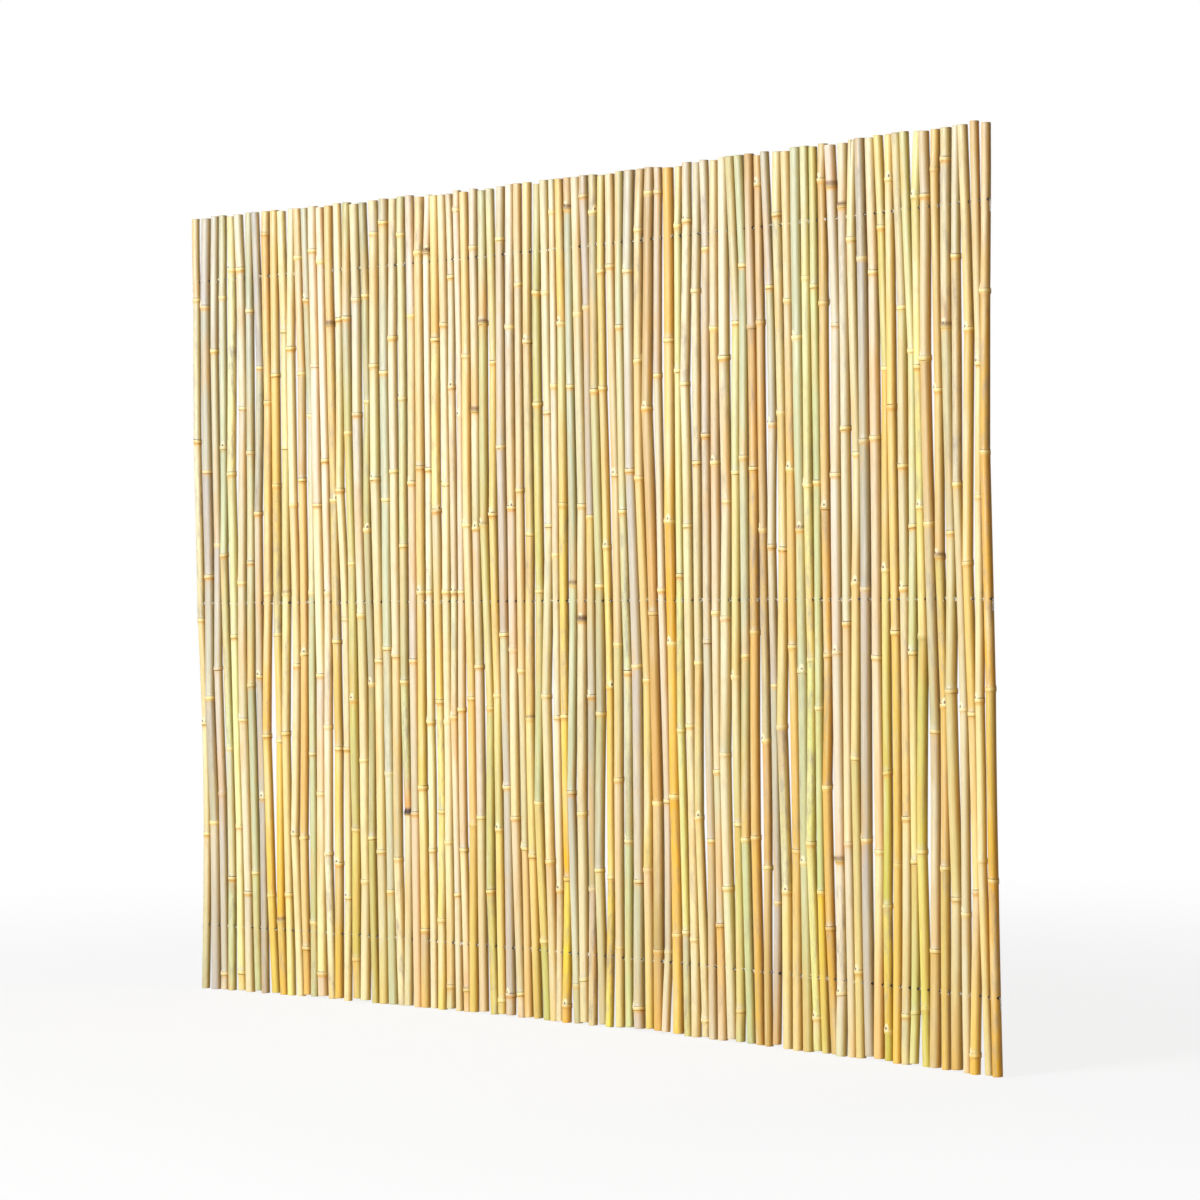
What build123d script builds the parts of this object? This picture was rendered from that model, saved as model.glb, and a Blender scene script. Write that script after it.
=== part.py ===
from build123d import *
import math
import os
import random

# Rolled bamboo fence, unrolled into a standing panel.
# Bamboo canes stand side by side, drilled across at three heights and strung on three steel wires.
# The origin is on the floor in the middle of the panel, X runs along it, the front faces -Y,
# and the middle of the panel bows away towards +Y.

# Whole panel
panel_height = 1829.0
cane_count = 90
bow_radius = 9330.0

# Canes: average thickness, how far the thinnest and thickest are from it, and taper from butt to tip
cane_diameter = 21.4
diameter_spread = 4.6
cane_taper = 1.0
cane_wall = 4.0

# Nodes: the rings where the cane swells and bends, and the closed wall inside each of them
shortest_internode = 240.0
longest_internode = 460.0
least_swell = 0.7
most_swell = 1.7
swell_below = 10.0
swell_above = 5.0
node_wall = 6.0
node_to_wire = 24.0
node_to_end = 36.0

# How crooked the canes are: the most that a stretch between nodes leans, in degrees
lean_along = 0.8
lean_across = 1.7

# Groups of canes lean together along the panel, in two waves: how far each shifts a cane, and how long it
# is, counted in canes and measured in height
group_waves = ((3.2, 17, 2400.0), (2.4, 29, 1500.0))

# Spacing: free width where two neighbours come closest
least_clear = 0.4
most_clear = 3.8

# How unevenly the canes are sawn, and how much longer the uncut canes are at each end
saw_spread = 6.5
saw_allowance = 12.0

# Wires: one near each end of the canes and one at mid height
wire_diameter = 2.0
hole_clearance = 0.4
wire_inset = 152.0
bend_inner_radius = 2.0
tail_length = 20.0

hole_diameter = wire_diameter + 2 * hole_clearance
wire_heights = {
    "bottom_wire": wire_inset,
    "middle_wire": panel_height / 2,
    "top_wire": panel_height - wire_inset,
}


def node_heights(draw):
    """Heights of a cane's nodes, kept off the sawn ends and off the wires."""
    heights = []
    height = draw.uniform(node_to_end, longest_internode)
    while height < panel_height - node_to_end:
        for wire_height in wire_heights.values():
            if abs(height - wire_height) < node_to_wire:
                height = wire_height + node_to_wire
        heights.append(height)
        height += draw.uniform(shortest_internode, longest_internode)
    return heights


def between(heights, values, height):
    """The value at a height, on straight lines between the listed ones, which run on past both ends."""
    above = 1
    while above < len(heights) - 1 and heights[above] < height:
        above += 1
    share = (height - heights[above - 1]) / (heights[above] - heights[above - 1])
    return values[above - 1] + share * (values[above] - values[above - 1])


def stray(draw, knots, most_lean):
    """How far a centre line strays sideways at its knots, when each stretch has its own lean. The parabola
    through the values at the three wires is taken off, so that each wire meets the cane near its middle."""
    walk = [0.0]
    for start, stop in zip(knots, knots[1:]):
        walk.append(walk[-1] + (stop - start) * math.tan(math.radians(draw.uniform(-most_lean, most_lean))))
    offsets = []
    for knot, offset in zip(knots, walk):
        for wire in wire_heights.values():
            others = [other for other in wire_heights.values() if other != wire]
            share = math.prod((knot - other) / (wire - other) for other in others)
            offset -= share * between(knots, walk, wire)
        offsets.append(offset)
    return offsets


def group_shift(number, height):
    """The shift along the panel that a cane shares with its neighbours."""
    shift = 0.0
    for size, count, tall in group_waves:
        shift += size * math.sin(2 * math.pi * (number / count + height / tall))
    return shift


def grow_cane(number):
    """The drawn form of one cane: a centre line that is straight from node to node, and a row of rings about
    it, each a height, a radius and the way it faces. Each cane has its own draws, so that no size moves
    another's."""
    draw = random.Random(number)
    diameter = cane_diameter + draw.triangular(-diameter_spread, diameter_spread)
    taper = draw.choice((-1, 1)) * cane_taper * draw.uniform(0.4, 1.0)
    clear = draw.triangular(least_clear, most_clear, least_clear)
    foot = max(0.0, draw.uniform(-saw_spread, saw_spread))
    head = panel_height - max(0.0, draw.uniform(-saw_spread, saw_spread))
    nodes = node_heights(draw)
    swells = [draw.uniform(least_swell, most_swell) for node in nodes]
    knots = [-saw_allowance] + nodes + [panel_height + saw_allowance]
    along = stray(draw, knots, lean_along)
    across = stray(draw, knots, lean_across)
    centres = [Vector(x + group_shift(number, z), y, z) for x, y, z in zip(along, across, knots)]

    stretches = []
    for start, stop in zip(centres, centres[1:]):
        middle_share = (start.Z + stop.Z) / 2 / panel_height - 0.5
        stretches.append(((diameter + taper * middle_share) / 2, stop - start))
    rings = [(knots[0], *stretches[0])]
    for node, swell, (below, way_below), (above, way_above) in zip(nodes, swells, stretches, stretches[1:]):
        rings.append((node - swell_below, below, way_below))
        rings.append((node, max(below, above) + swell, way_below + way_above))
        rings.append((node + swell_above, above, way_above))
    rings.append((knots[-1], *stretches[-1]))
    return {
        "diameter": diameter,
        "clear": clear,
        "foot": foot,
        "head": head,
        "knots": knots,
        "centres": centres,
        "rings": rings,
    }


def side_reach(cane, height, side):
    """How far a cane reaches at a height towards one side of its place on the wires."""
    ring_heights, ring_radii, _ = zip(*cane["rings"])
    centre = between(cane["knots"], cane["centres"], height)
    return between(ring_heights, ring_radii, height) + side * centre.X


def lay_out(canes):
    """Pushes the canes together on the wires, as close as the bends and nodes of neighbours allow."""
    place = 0.0
    canes[0]["place"] = place
    for before, cane in zip(canes, canes[1:]):
        heights = [height for height, _, _ in before["rings"] + cane["rings"]]
        place += max(side_reach(before, height, 1) + side_reach(cane, height, -1) for height in heights)
        place += cane["clear"]
        cane["place"] = place
    for cane in canes:
        cane["place"] -= place / 2


def bow_place(along, height):
    """The frame at a place along the bow: X along the panel, Y towards the back, Z up."""
    turn = along / bow_radius
    spot = Pos(bow_radius * math.sin(turn), bow_radius * (math.cos(turn) - 1), height)
    return spot * Rot(0, 0, -math.degrees(turn))


def loft_rings(cane, rings):
    """A solid from ring to ring about the cane's centre line, its seam at the back, off the drilled sides."""
    wires = []
    for height, radius, way in rings:
        centre = between(cane["knots"], cane["centres"], height)
        wires.append(Wire(Edge.make_circle(radius, Plane(origin=centre, x_dir=(0, 1, 0), z_dir=way))))
    return Solid.make_loft(wires, ruled=True)


def standing_cane(cane):
    """A cane in its place: hollow from both ends to the nearest node, drilled for the wires, sawn level."""
    knots = cane["knots"]
    low_end, low_radius, low_way = cane["rings"][0]
    high_end, high_radius, high_way = cane["rings"][-1]
    low_hollow = [
        (low_end, low_radius - cane_wall, low_way),
        (knots[1] - node_wall / 2, low_radius - cane_wall, low_way),
    ]
    high_hollow = [
        (knots[-2] + node_wall / 2, high_radius - cane_wall, high_way),
        (high_end, high_radius - cane_wall, high_way),
    ]
    cutters = [loft_rings(cane, low_hollow), loft_rings(cane, high_hollow)]
    block = 2 * cane["diameter"]
    for height in wire_heights.values():
        cutters.append(Pos(0, 0, height) * Rot(0, 90, 0) * Cylinder(hole_diameter / 2, block))
    cutters.append(Pos(0, 0, cane["foot"] - block / 2) * Box(block, block, block))
    cutters.append(Pos(0, 0, cane["head"] + block / 2) * Box(block, block, block))
    return bow_place(cane["place"], 0) * (loft_rings(cane, cane["rings"]) - cutters)


def strung_wire(first_cane, last_cane, height):
    """A wire through the whole row of canes, its ends bent down along the outer side of the end canes."""
    bend_radius = bend_inner_radius + wire_diameter / 2
    half_turn = math.sqrt(0.5)
    path = []
    ends = []
    for side, cane in ((-1, first_cane), (1, last_cane)):
        end = bow_place(cane["place"] + side * side_reach(cane, height, side), height)
        bend = [
            (0, 0, 0),
            (side * bend_radius * half_turn, 0, bend_radius * (half_turn - 1)),
            (side * bend_radius, 0, -bend_radius),
        ]
        start, middle, stop = [(end * Pos(point)).position for point in bend]
        ends.append(start)
        path.append(ThreePointArc(start, middle, stop))
        path.append(Line(stop, stop - Vector(0, 0, tail_length)))
    path.append(ThreePointArc(ends[0], (0, 0, height), ends[1]))
    tip = path[1] @ 1
    section = Plane(origin=tip, z_dir=(0, 0, 1)) * Circle(wire_diameter / 2)
    return sweep(section, path=Wire(path))


canes = [grow_cane(number) for number in range(1, cane_count + 1)]
lay_out(canes)
pieces = {}
for first in range(0, cane_count, 2):
    pair = [standing_cane(cane) for cane in canes[first:first + 2]]
    pieces[f"cane_pair_{first // 2 + 1:02d}"] = pair
for name, height in wire_heights.items():
    pieces[name] = [strung_wire(canes[0], canes[-1], height)]

# The bow puts the ends in front of the middle, so the whole panel is moved to stand over the origin.
spread = Compound([piece for group in pieces.values() for piece in group]).bounding_box()
centring = Pos(-spread.center().X, -spread.center().Y, 0)
os.makedirs("parts", exist_ok=True)
for name, group in pieces.items():
    moved = [centring * piece for piece in group]
    export_step(Compound(moved) if len(moved) > 1 else moved[0], f"parts/{name}.step")
print(f"width {spread.size.X:.1f} depth {spread.size.Y:.1f} height {spread.size.Z:.1f}")
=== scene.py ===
import math
import random

import bpy
import numpy as np
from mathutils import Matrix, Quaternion, Vector


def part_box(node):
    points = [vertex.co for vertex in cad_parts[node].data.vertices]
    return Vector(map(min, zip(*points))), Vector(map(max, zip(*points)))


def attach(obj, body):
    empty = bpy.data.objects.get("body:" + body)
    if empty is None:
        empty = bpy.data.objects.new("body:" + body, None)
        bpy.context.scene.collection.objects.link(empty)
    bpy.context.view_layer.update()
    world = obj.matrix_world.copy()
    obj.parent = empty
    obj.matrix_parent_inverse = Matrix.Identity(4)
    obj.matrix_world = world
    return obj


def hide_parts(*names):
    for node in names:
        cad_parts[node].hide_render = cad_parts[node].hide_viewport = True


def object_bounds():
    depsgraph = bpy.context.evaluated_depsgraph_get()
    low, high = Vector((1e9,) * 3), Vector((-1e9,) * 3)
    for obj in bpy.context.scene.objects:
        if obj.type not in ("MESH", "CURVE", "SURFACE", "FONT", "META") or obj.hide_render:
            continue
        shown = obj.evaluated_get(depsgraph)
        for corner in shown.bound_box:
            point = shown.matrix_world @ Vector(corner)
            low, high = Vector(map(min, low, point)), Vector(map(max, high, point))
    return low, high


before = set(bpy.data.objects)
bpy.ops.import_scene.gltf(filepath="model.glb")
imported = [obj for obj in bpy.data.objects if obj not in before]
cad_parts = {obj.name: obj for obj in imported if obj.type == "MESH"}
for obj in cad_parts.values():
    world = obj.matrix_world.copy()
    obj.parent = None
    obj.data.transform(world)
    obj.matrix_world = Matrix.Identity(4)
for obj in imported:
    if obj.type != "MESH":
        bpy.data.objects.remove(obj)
cad_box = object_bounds()

# Sizes of the fence, in metres, as the model was built
PANEL_HEIGHT = 1.829
CANE_COUNT = 90
BOW_RADIUS = 9.330
CANE_DIAMETER = 0.0214
DIAMETER_SPREAD = 0.0046
CANE_TAPER = 0.0010
CANE_WALL = 0.0040
SHORTEST_INTERNODE = 0.240
LONGEST_INTERNODE = 0.460
LEAST_SWELL = 0.0007
MOST_SWELL = 0.0017
SWELL_BELOW = 0.010
SWELL_ABOVE = 0.005
NODE_WALL = 0.006
NODE_TO_WIRE = 0.024
NODE_TO_END = 0.036
LEAN_ALONG = math.radians(0.8)
LEAN_ACROSS = math.radians(1.7)
GROUP_WAVES = ((0.0032, 17, 2.400), (0.0024, 29, 1.500))
LEAST_CLEAR = 0.0004
MOST_CLEAR = 0.0038
SAW_SPREAD = 0.0065
SAW_ALLOWANCE = 0.012
WIRE_DIAMETER = 0.0020
HOLE_RADIUS = 0.0014
WIRE_INSET = 0.152
WIRE_HEIGHTS = np.array([WIRE_INSET, PANEL_HEIGHT / 2, PANEL_HEIGHT - WIRE_INSET])

# The mesh of a cane: columns close together where the drill went in, rows close together at
# each feature, and how far into a hollow its own row lies
HOLE_STEPS = np.array([-3.0, -1.7, -1.25, -0.7, 0.0, 0.7, 1.25, 1.7, 3.0]) / 1000
NODE_STEPS = np.array([
    -15, -10, -8, -6.2, -4.6, -3, -1.6, -0.4, 0.8, 1.6, 2.4, 3.6, 5, 9, 15,
]) / 1000
PLAIN_COLUMNS = 7
PLAIN_ROW_STEP = 0.055
RIM_ROUNDING = 0.0004
RIM_ROW = 0.004
HOLLOW_ROW = 0.3
BOX_MARGIN = 0.00002
SHARP_ANGLE = math.radians(50)

# Node rings: how far they rise and fall, and two dips, each with its depth as a share of the
# swelling, its height over the node and its width
FULLNESS = 1.22
RISE_LENGTH = 0.0055
FALL_LENGTH = 0.0042
WAIST = (0.30, -0.0026, 0.0016)
GROOVE = (0.50, 0.0016, 0.0007)
RING_SLANT = 0.0013

# Buds: the share of nodes that have one, the share of those on the front, and their form
BUD_SHARE = 0.32
BUDS_IN_FRONT = 0.75
BUD_SPREAD = 0.45
BUD_SIZE = (0.0008, 0.0024)
BUD_WIDTH = 0.0044
BUD_LIFT = 0.003
BUD_ABOVE = 0.0085
BUD_BELOW = 0.0050

# Unevenness of a cane: three long waves round it, shallow arches along and across the panel
# between its nodes, and the slant of its sawn ends
WAVES_ROUND = (2, 3, 4)
WAVE_SIZE = (0.00005, 0.00016)
WAVE_PITCH = (2, 9)
ARCHES = np.array([[0.0003], [0.0012]])
SAW_SLANT = 0.0006

# Drilled holes: how deep the shown pits are and how much they are drawn out to the front; where
# pit and the painted shade of the hole begin, and how wide their edge is, in radii of the hole
DRILL_DEPTH = 0.0034
TEAR_OUT = (0.38, 1.0)
PIT_EDGE = 1.6
HOLE_SHADE_EDGE = 1.9
EDGE_WIDTH = 0.5
BEYOND_HOLES = 9.0

# Near a wire the columns of a cane turn to the plane of the wires
THINNEST_CANE = 0.006
MOST_TURN = 0.9
TURN_REACH = 0.03

# The head that is split in the photograph: cane and length, how deep the groove is, and the
# column of the cane's mesh that it runs along
SPLIT_TOPS = {76: 0.200}
SPLIT_DEPTH = 0.0020
SPLIT_COLUMN = 2 * HOLE_STEPS.size + PLAIN_COLUMNS + PLAIN_COLUMNS // 2 + 1

# Nodes that are scorched as in the photograph: cane, then node counted from the foot, and how
# strongly. A few others are scorched more weakly, by draw
SCORCHED = {25: {0: 1.0}, 46: {2: 0.55}}
SCORCH_SHARE = 0.04
SCORCH_STRENGTH = (0.1, 0.4)
SCORCH_LIFT = 0.001
SCORCH_WIDTH = 0.006
SCORCH_HEIGHT = 0.10
SCORCH_SEED = 500

# Marks of the skin: how far from a node its marks reach and how quickly they fade there, the
# beta draws for how plainly a node shows its band, its dark ring and its bloom and for how
# weathered a stretch is, how far apart the noises see two canes, and how strong the shade is
# on a cane's left side beside its right side
MARK_REACH = 0.02
MARK_FADE = 3.3
PLAINNESS = ([[2.2], [1.3], [1.2]], [[1.2], [1.6], [1.6]])
WEATHERING = (0.6, 2.0)
PLACE_STEP = 2.37
FAR_SIDE_SHADE = 0.6
PLAIN_MARKS = ("drilled", "side", "bud", "weather", "burnt", "tanned", "split")

# Colour of the skin: the beta draw for how far a stretch goes over to another tint, the spread
# of brightness by stretch and by cane, and how colour changes to the right and to the head
TINT_BLEND = (1.0, 2.2)
STRETCH_LEVEL = 0.06
CANE_LEVEL = 0.07
TINT_CHANGE = 0.004
SATURATION = 1.18
SATURATION_RIGHT = 0.16
SATURATION_HEAD = -0.44
SATURATION_SPREAD = 0.13
BRIGHTNESS = 1.02
BRIGHTNESS_RIGHT = -0.10

# Splinters at the drilled holes
SPLINTER_SEED = 411
MOST_SPLINTERS = 11
SPLINTER_LENGTH = (0.0024, 0.0062)
SPLINTER_RADIUS = (0.0004, 0.0012)
SPLINTER_FORWARD = 0.0056
SPLINTER_ROOT = 0.0005
SPLINTER_BEND = 0.0006
SPLINTER_TAPER = 0.85

# Studio: half the floor's side, where the floor starts to fade to white and where it is white,
# how white it is seen near the fence, and how strongly the world lights the fence
FLOOR_SIZE = 60.0
FLOOR_FADE = (1.0, 4.5)
FLOOR_WHITE = 0.82
WORLD_STRENGTH = 0.20


def display(red, green, blue):
    """A colour as a screen shows it, 0 to 255, as the linear values that a shader takes."""
    shown = np.array([red, green, blue]) / 255
    return np.where(shown <= 0.04045, shown / 12.92, ((shown + 0.055) / 1.055) ** 2.4)


# Colours of dry cane skin, each with how often it comes at the left and at the right end
SKINS = {
    "cream": (display(246, 232, 190), 6, 5),
    "straw": (display(242, 224, 158), 5, 6),
    "gold": (display(242, 208, 126), 3, 5),
    "honey": (display(234, 188, 106), 1, 4),
    "tan": (display(234, 208, 154), 2, 3),
    "pink": (display(236, 218, 192), 2, 2),
    "olive": (display(212, 206, 134), 4, 4),
    "lime": (display(226, 228, 158), 3, 2),
    "grey_green": (display(206, 212, 172), 5, 1),
    "mauve_grey": (display(208, 200, 190), 5, 1),
}

# Noises of the fibre group: squeeze along the cane, scale, detail and roughness
FIBRE_NOISES = {
    "Streaks": (0.012, 1500, 4, 0.6),
    "Broad": (0.02, 260, 3, 0.5),
    "Cloud": (0.35, 60, 4, 0.6),
    "Specks": (0.5, 700, 2, 0.5),
    "Smudge": (0.22, 75, 5, 0.65),
    "Long": (0.12, 32, 3, 0.5),
}


def node_heights(draw):
    """Heights of a cane's nodes, drawn as the model draws them."""
    heights = []
    height = draw.uniform(NODE_TO_END, LONGEST_INTERNODE)
    while height < PANEL_HEIGHT - NODE_TO_END:
        for wire_height in WIRE_HEIGHTS:
            if abs(height - wire_height) < NODE_TO_WIRE:
                height = wire_height + NODE_TO_WIRE
        heights.append(height)
        height += draw.uniform(SHORTEST_INTERNODE, LONGEST_INTERNODE)
    return heights


def stray(draw, knots, most_lean):
    """Sideways offsets of a centre line at its knots: a walk with its own lean for each
    stretch, less the parabola through its values at the three wires."""
    leans = np.array([draw.uniform(-most_lean, most_lean) for _ in knots[1:]])
    walk = np.concatenate([[0.0], np.cumsum(np.diff(knots) * np.tan(leans))])
    parabola = np.polyfit(WIRE_HEIGHTS, np.interp(WIRE_HEIGHTS, knots, walk), 2)
    return walk - np.polyval(parabola, knots)


def grow_cane(number):
    """The form of one cane, drawn in the model's order: its centre line and the radius of its
    stretches."""
    draw = random.Random(number)
    diameter = CANE_DIAMETER + draw.triangular(-DIAMETER_SPREAD, DIAMETER_SPREAD)
    taper = draw.choice((-1, 1)) * CANE_TAPER * draw.uniform(0.4, 1.0)
    clear = draw.triangular(LEAST_CLEAR, MOST_CLEAR, LEAST_CLEAR)
    foot = max(0.0, draw.uniform(-SAW_SPREAD, SAW_SPREAD))
    head = PANEL_HEIGHT - max(0.0, draw.uniform(-SAW_SPREAD, SAW_SPREAD))
    nodes = np.array(node_heights(draw))
    swells = np.array([draw.uniform(LEAST_SWELL, MOST_SWELL) for _ in nodes])
    knots = np.concatenate([[-SAW_ALLOWANCE], nodes, [PANEL_HEIGHT + SAW_ALLOWANCE]])
    along = stray(draw, knots, LEAN_ALONG)
    across = stray(draw, knots, LEAN_ACROSS)
    for size, count, tall in GROUP_WAVES:
        along += size * np.sin(2 * math.pi * (number / count + knots / tall))
    middle_share = (knots[1:] + knots[:-1]) / 2 / PANEL_HEIGHT - 0.5
    radii = (diameter + taper * middle_share) / 2
    node_rings = (nodes[:, None] + [-SWELL_BELOW, 0, SWELL_ABOVE]).ravel()
    crests = np.maximum(radii[:-1], radii[1:]) + swells
    node_radii = np.stack([radii[:-1], crests, radii[1:]], axis=1).ravel()
    return {
        "number": number,
        "diameter": diameter,
        "clear": clear,
        "foot": foot,
        "head": head,
        "nodes": nodes,
        "swells": swells,
        "knots": knots,
        "along": along,
        "across": across,
        "radii": radii,
        "ring_heights": np.concatenate([knots[:1], node_rings, knots[-1:]]),
        "ring_radii": np.concatenate([radii[:1], node_radii, radii[-1:]]),
    }


def side_reach(cane, heights, side):
    """How far a cane reaches at some heights towards one side of its place on the wires."""
    radius = np.interp(heights, cane["ring_heights"], cane["ring_radii"])
    return radius + side * np.interp(heights, cane["knots"], cane["along"])


def lay_out(canes):
    """Places the canes along the bow, as close as the bends and nodes of neighbours allow, as
    in the model."""
    place = 0.0
    canes[0]["place"] = place
    for before, cane in zip(canes, canes[1:]):
        heights = np.concatenate([before["ring_heights"], cane["ring_heights"]])
        reach = side_reach(before, heights, 1) + side_reach(cane, heights, -1)
        place += reach.max() + cane["clear"]
        cane["place"] = place
    for cane in canes:
        cane["share"] = cane["place"] / place
        cane["place"] -= place / 2


def bow_origin(canes):
    """Where the model's frame has the middle of the bow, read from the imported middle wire."""
    low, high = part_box("middle_wire")
    height = WIRE_HEIGHTS[1]
    left = canes[0]["place"] - side_reach(canes[0], height, -1)
    right = canes[-1]["place"] + side_reach(canes[-1], height, 1)
    bow_middle = BOW_RADIUS * (math.sin(left / BOW_RADIUS) + math.sin(right / BOW_RADIUS)) / 2
    return np.array([(low.x + high.x) / 2 - bow_middle, high.y - WIRE_DIAMETER / 2])


def smooth_step(share):
    """A smooth way from 0 to 1: share^2 * (3 - 2 * share)."""
    return share ** 2 * (3 - 2 * share)


def wrapped(angle):
    """An angle brought between minus and plus half a turn."""
    return (angle + math.pi) % (2 * math.pi) - math.pi


def dip(from_node, depth, height, width):
    """A bell curve about a height over the node: depth * exp(-((from_node - height) / width)^2)."""
    return depth * np.exp(-((from_node - height) / width) ** 2)


def swelling(from_node):
    """How far a node stands proud, as a share of its most: a smooth rise to a rounded lip, a
    shallow waist, the ring, a narrow groove just over it and a smooth fall."""
    rise = smooth_step(np.clip((from_node + SWELL_BELOW) / RISE_LENGTH, 0, 1))
    fall = smooth_step(np.clip((SWELL_ABOVE - from_node) / FALL_LENGTH, 0, 1))
    return rise * fall * (1 - dip(from_node, *WAIST) - dip(from_node, *GROOVE))


def cane_columns(radius):
    """Angles round a cane: close steps across both drilled sides and even steps between."""
    close = HOLE_STEPS / radius
    open_steps = np.linspace(close[-1], math.pi - close[-1], PLAIN_COLUMNS + 2)[1:-1]
    return np.concatenate([close, open_steps, math.pi + close, math.pi + open_steps])


def outer_rows(cane):
    """Heights of the rows on the outer wall: even steps, closer at nodes, wires and rims."""
    foot = cane["foot"] + RIM_ROUNDING
    head = cane["head"] - RIM_ROUNDING
    close = np.concatenate([
        (cane["nodes"][:, None] + NODE_STEPS).ravel(),
        (WIRE_HEIGHTS[:, None] + HOLE_STEPS).ravel(),
    ])
    close = close[(close > foot) & (close < head)]
    even = np.arange(foot + PLAIN_ROW_STEP / 2, head - PLAIN_ROW_STEP / 2, PLAIN_ROW_STEP)
    lonely = np.abs(even[:, None] - close[None, :]).min(axis=1) > PLAIN_ROW_STEP / 4
    rims = [foot, foot + RIM_ROW, head - RIM_ROW, head]
    return np.unique(np.concatenate([close, even[lonely], rims]))


def cane_rows(cane):
    """The rows of one cane as a single strip: from the floor of the lower hollow down its wall,
    over the sawn foot, up the outside, over the sawn head and down the upper hollow. Gives
    height, radius and part."""
    foot, head = cane["foot"], cane["head"]
    low_floor = cane["nodes"][0] - NODE_WALL / 2
    high_floor = cane["nodes"][-1] + NODE_WALL / 2
    low_inner = cane["radii"][0] - CANE_WALL
    high_inner = cane["radii"][-1] - CANE_WALL
    outer = outer_rows(cane)
    outer_radii = cane["radii"][np.searchsorted(cane["nodes"], outer)]
    rows = [
        (low_floor, low_inner, "hollow"),
        (foot + HOLLOW_ROW * (low_floor - foot), low_inner, "hollow"),
        (foot + RIM_ROUNDING, low_inner, "hollow"),
        (foot, low_inner + RIM_ROUNDING, "sawn"),
        (foot, cane["radii"][0] - RIM_ROUNDING, "sawn"),
        *((height, radius, "skin") for height, radius in zip(outer, outer_radii)),
        (head, cane["radii"][-1] - RIM_ROUNDING, "sawn"),
        (head, high_inner + RIM_ROUNDING, "sawn"),
        (head - RIM_ROUNDING, high_inner, "hollow"),
        (head - HOLLOW_ROW * (head - high_floor), high_inner, "hollow"),
        (high_floor, high_inner, "hollow"),
    ]
    heights, radii, parts = zip(*rows)
    return np.array(heights), np.array(radii), np.array(parts)


def to_panel(place, origin, aside, back, heights):
    """Points given by their offset along and across the panel from a place on the bow, in the
    shared frame."""
    turn = place / BOW_RADIUS
    cosine, sine = math.cos(turn), math.sin(turn)
    x = origin[0] + BOW_RADIUS * sine + cosine * aside + sine * back
    y = origin[1] + BOW_RADIUS * (cosine - 1) - sine * aside + cosine * back
    return np.stack(np.broadcast_arrays(x, y, heights), axis=-1)


def grow_buds(draw, nearest, count, angle, radius, from_node):
    """Buds beside some nodes: how much of a bud is at each point, a bell curve that is longer
    upwards, and how far the bud of the nearest node stands out."""
    size = draw.uniform(*BUD_SIZE, count) * (draw.random(count) < BUD_SHARE)
    facing = np.where(draw.random(count) < BUDS_IN_FRONT, -0.5, 0.5) * math.pi
    facing = facing + draw.normal(0, BUD_SPREAD, count)
    turn = wrapped(angle - facing[nearest][:, None])
    lift = from_node - BUD_LIFT
    tall = np.where(lift > 0, BUD_ABOVE, BUD_BELOW)
    off_bud = (turn * radius[:, None] / BUD_WIDTH) ** 2 + (lift / tall) ** 2
    return (size > 0)[nearest][:, None] * np.exp(-off_bud), size[nearest][:, None]


def split_head(cane, heights, radius, parts, columns):
    """How wide a split head gapes at each point: along one column, more towards the saw cut."""
    gape = np.zeros(len(heights))
    if cane["number"] in SPLIT_TOPS:
        gape = np.clip(1 - (cane["head"] - heights) / SPLIT_TOPS[cane["number"]], 0, 1)
        gape *= (parts == "skin") | (radius > cane["radii"][-1] - 2 * RIM_ROUNDING)
    return gape[:, None] * (np.arange(columns) == SPLIT_COLUMN)


def from_holes(draw, cane, angle, height):
    """How far each point is from the nearest drilled hole, in radii of the hole, each hole
    being drawn out towards the front."""
    reach = np.full_like(angle, BEYOND_HOLES)
    for wire_height in WIRE_HEIGHTS:
        for side in (0.0, math.pi):
            away = wrapped(angle - side)
            to_front = away if side else -away
            torn = draw.uniform(*TEAR_OUT) * to_front
            aslant = np.where(to_front > 0, torn, away) * cane["diameter"] / 2
            reach = np.minimum(reach, np.hypot(aslant, height - wire_height) / HOLE_RADIUS)
    return reach


def cut_aslant(draw, cane, heights, angle, height):
    """The height of each point once the ends are sawn a little aslant, never past the model's
    own ends."""
    saw_angle = draw.uniform(0, 2 * math.pi, 2)
    saw_slope = draw.uniform(0, SAW_SLANT, 2)
    at_foot = (heights <= cane["foot"] + RIM_ROUNDING)[:, None]
    at_head = (heights >= cane["head"] - RIM_ROUNDING)[:, None]
    height = height + at_foot * saw_slope[0] * (1 + np.cos(angle - saw_angle[0]))
    return height - at_head * saw_slope[1] * (1 + np.cos(angle - saw_angle[1]))


def centre_line(draw, cane, heights):
    """Offsets of a cane's middle along and across the panel at each row: straight from knot to
    knot with a shallow arch, a sine of the way along the stretch."""
    knots = cane["knots"]
    stretch = np.clip(np.searchsorted(knots, heights) - 1, 0, len(knots) - 2)
    way = (heights - knots[stretch]) / (knots[stretch + 1] - knots[stretch])
    arch = draw.uniform(-1, 1, (2, len(knots) - 1)) * ARCHES
    bulge = np.sin(math.pi * way)
    aside = np.interp(heights, knots, cane["along"]) + arch[0][stretch] * bulge
    back = np.interp(heights, knots, cane["across"]) + arch[1][stretch] * bulge
    return aside, back


def turned_columns(heights, radius, back, angle):
    """The columns' angles, kept to the plane of the wires near each wire, so that the close
    columns meet the drilled holes."""
    sine = np.clip(back / np.maximum(radius, THINNEST_CANE), -MOST_TURN, MOST_TURN)
    from_wire = np.abs(heights[:, None] - WIRE_HEIGHTS).min(axis=1)
    near_wire = np.exp(-(from_wire / TURN_REACH) ** 2)
    return angle - (np.arcsin(sine) * near_wire)[:, None] * np.cos(angle)


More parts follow.
